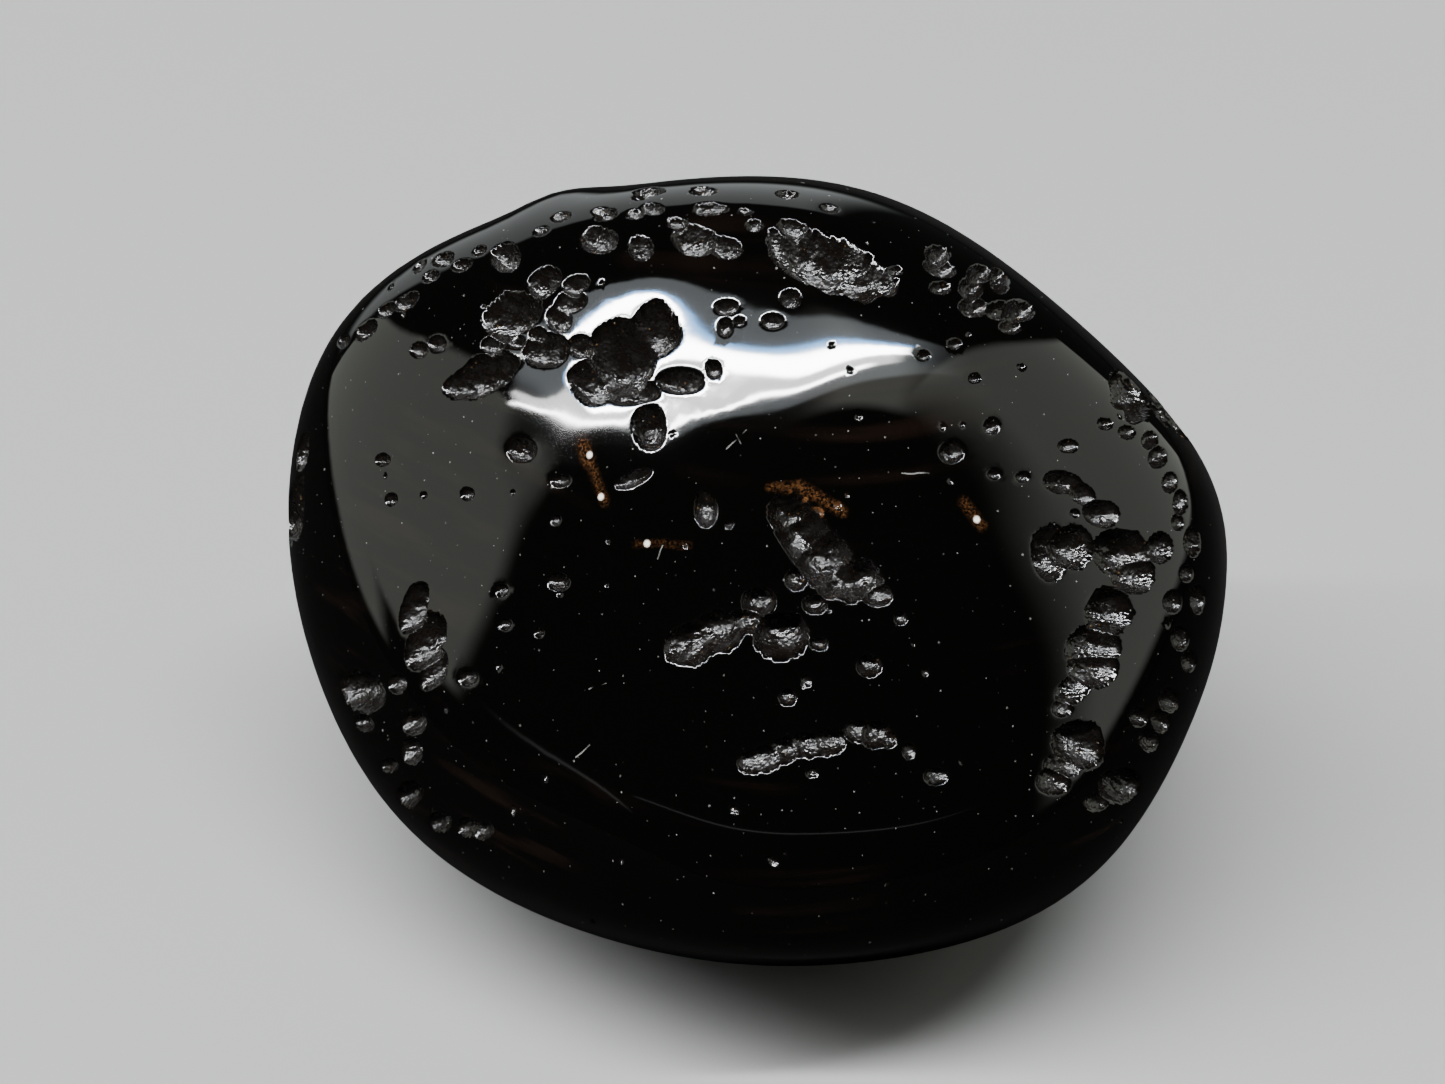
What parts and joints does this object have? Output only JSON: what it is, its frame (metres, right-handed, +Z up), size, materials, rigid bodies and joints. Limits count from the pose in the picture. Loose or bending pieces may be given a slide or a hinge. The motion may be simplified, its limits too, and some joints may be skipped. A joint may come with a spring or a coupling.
{
  "type": "tumbled tektite",
  "caption": "Rounded, tumble-polished pebble of black natural glass with open bubble pits in its skin, resting on a small worn flat.",
  "frame": {"origin": "middle of the underside of the bounding box, on the surface that the pebble rests on", "axes": "+Z up, +X towards the pebble's right end as seen from its front, the front face with the largest bubble clusters towards -Y"},
  "size_m": [0.0336, 0.0301, 0.0263],
  "materials": {
    "black_glass": "polished, opaque, unpolished inside the bubble pits"
  },
  "bodies": {
    "root": {"tektite": "black_glass"}
  },
  "joints": []
}
